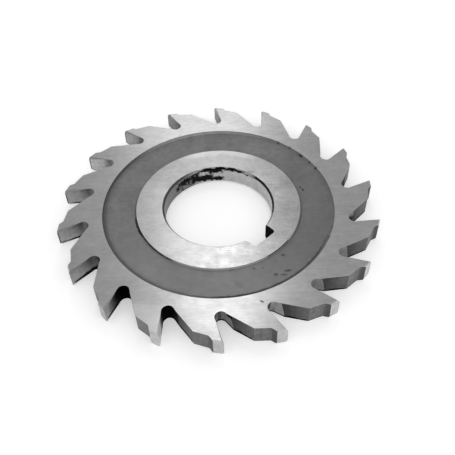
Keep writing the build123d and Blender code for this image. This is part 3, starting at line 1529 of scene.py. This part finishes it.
@dataclass
class Floor:
    """A plain pale floor."""

    half_size: float = 4.0
    clearance: float = 0.02  # keeps it clear of the cutter's lower face, in millimetres
    colour: str = "#f4f4f4"
    glow: float = 0.36

    def build(self) -> bpy.types.Object:
        """Builds the floor.

        Returns:
            The floor's object.
        """
        bm = bmesh.new()
        bmesh.ops.create_grid(bm, x_segments=1, y_segments=1, size=self.half_size)
        floor = add_object("floor", mesh_from(bm, "floor"))
        floor.location.z = -self.clearance * MM
        floor.data.materials.append(self.material())
        return floor

    def material(self) -> bpy.types.Material:
        """Builds matt white paper that shows as a white ground and keeps the shadow.

        Returns:
            The floor's material.
        """
        made = bpy.data.materials.new("white_paper")
        tree = empty_tree(made)
        paper = add_node(tree, "ShaderNodeBsdfDiffuse", {"Color": linear(self.colour)})
        path = add_node(tree, "ShaderNodeLightPath").outputs
        seen = path["Is Camera Ray"]
        for kind in ("Is Glossy Ray", "Is Transmission Ray"):
            either = {0: seen, 1: path[kind]}
            seen = add_node(tree, "ShaderNodeMath", either, operation="ADD")
        strength = add_node(tree, "ShaderNodeMath", {0: seen, 1: self.glow}, operation="MULTIPLY")
        glow = add_node(tree, "ShaderNodeEmission", {"Strength": strength})
        both = add_node(tree, "ShaderNodeAddShader", {0: paper, 1: glow})
        add_node(tree, "ShaderNodeOutputMaterial", {"Surface": both})
        return made


@dataclass(frozen=True)
class SoftBox:
    """One soft lamp, aimed at the cutter."""

    name: str
    azimuth: float  # direction it stands in, in degrees from +X
    elevation: float
    distance: float
    width: float
    height: float
    power: float

    def build(self) -> bpy.types.Object:
        """Builds the lamp.

        Returns:
            The lamp's object.
        """
        lamp = bpy.data.lights.new(self.name, "AREA")
        lamp.shape = "RECTANGLE"
        lamp.size = self.width
        lamp.size_y = self.height
        lamp.energy = self.power
        made = add_object(self.name, lamp)
        around, up = math.radians(self.azimuth), math.radians(self.elevation)
        away = Vector(
            (math.cos(around) * math.cos(up), math.sin(around) * math.cos(up), math.sin(up))
        )
        made.location = away * self.distance
        made.rotation_mode = "QUATERNION"
        made.rotation_quaternion = away.to_track_quat("Z", "Y")
        made.visible_camera = False
        return made


@dataclass
class Studio:
    """The soft boxes and the pale room round the cutter."""

    room_colour: str = "#b0b0b0"
    wall_colour: str = "#ffffff"
    horizon_top: float = 24.0  # degrees up, where the white of the walls has ended
    horizon_fade: float = 6.0  # degrees over which it ends
    dim_side: float = 138.0  # the grey wall's direction, in degrees from +X
    dim_from: float = -0.35  # cosine of the turn from it where the grey begins
    dim_full: float = 0.05  # and where it is full
    soft_boxes: Sequence[SoftBox] = (
        SoftBox("far_high_box", 139.0, 53.5, 1.0, 0.15, 0.25, 0.44),
        SoftBox("far_low_box", 141.0, 30.5, 1.0, 0.26, 0.2, 0.28),
        SoftBox("side_box", 85.0, 42.0, 1.0, 0.4, 0.4, 0.5),
    )

    def build(self) -> None:
        """Builds the room's light, the lamps and the plain view of colours."""
        scene = bpy.context.scene
        scene.view_settings.view_transform = "Standard"
        scene.world = bpy.data.worlds.new("pale_room")
        tree = empty_tree(scene.world)
        away = add_node(tree, "ShaderNodeTexCoord").outputs["Generated"]
        height = add_node(tree, "ShaderNodeSeparateXYZ", {0: away}).outputs["Z"]
        start = math.sin(math.radians(self.horizon_top - self.horizon_fade))
        end = math.sin(math.radians(self.horizon_top))
        above = add_node(tree, "ShaderNodeMapRange", {"Value": height, 1: start, 2: end})
        side = place(1.0 / MM, self.dim_side)
        facing = add_node(
            tree, "ShaderNodeVectorMath", {0: away, 1: side}, operation="DOT_PRODUCT"
        ).outputs["Value"]
        turned = {"Value": facing, 1: self.dim_from, 2: self.dim_full}
        ahead = add_node(tree, "ShaderNodeMapRange", turned)
        dim = add_node(tree, "ShaderNodeMath", {0: above, 1: ahead}, operation="MULTIPLY")
        walls = {"Factor": dim, 6: linear(self.wall_colour), 7: linear(self.room_colour)}
        shade = add_node(tree, "ShaderNodeMix", walls, data_type="RGBA").outputs[2]
        light = add_node(tree, "ShaderNodeBackground", {"Color": shade})
        add_node(tree, "ShaderNodeOutputWorld", {"Surface": light})
        for box in self.soft_boxes:
            box.build()


@dataclass
class Camera:
    """The camera, at the distance, height and angle of the reference view."""

    position: tuple[float, float, float] = (82.058, -72.796, 116.706)
    target: tuple[float, float, float] = (7.272, -3.786, 5.0)
    roll: float = 1.708
    lens: float = 49.45
    sensor: float = 36.0
    clip: tuple[float, float] = (0.01, 20.0)  # in metres

    def build(self) -> bpy.types.Object:
        """Builds the camera and makes it the scene's.

        Returns:
            The camera's object.
        """
        data = bpy.data.cameras.new("camera")
        data.sensor_width = self.sensor
        data.lens = self.lens
        data.clip_start, data.clip_end = self.clip
        made = add_object("camera", data)
        made.location = Vector(self.position) * MM
        level = (Vector(self.target) * MM - made.location).to_track_quat("-Z", "Y")
        made.rotation_mode = "QUATERNION"
        made.rotation_quaternion = level @ Quaternion(UP, math.radians(-self.roll))
        bpy.context.scene.camera = made
        return made


def main() -> None:
    """Builds the camera, the floor, the light and the cutter."""
    logging.basicConfig(level=logging.INFO, format="%(name)s: %(message)s")
    camera = Camera().build()
    log.info("camera at %s", [round(c, 4) for c in camera.location])
    log.info("built %s", Floor().build().name)
    Studio().build()
    log.info("built the studio's light")
    log.info("nodes in the frame: %s", sorted(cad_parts))
    cutter = SlottingCutter().build()
    log.info("built %s with %d faces", cutter.name, len(cutter.data.polygons))


if __name__ == "__main__":
    main()
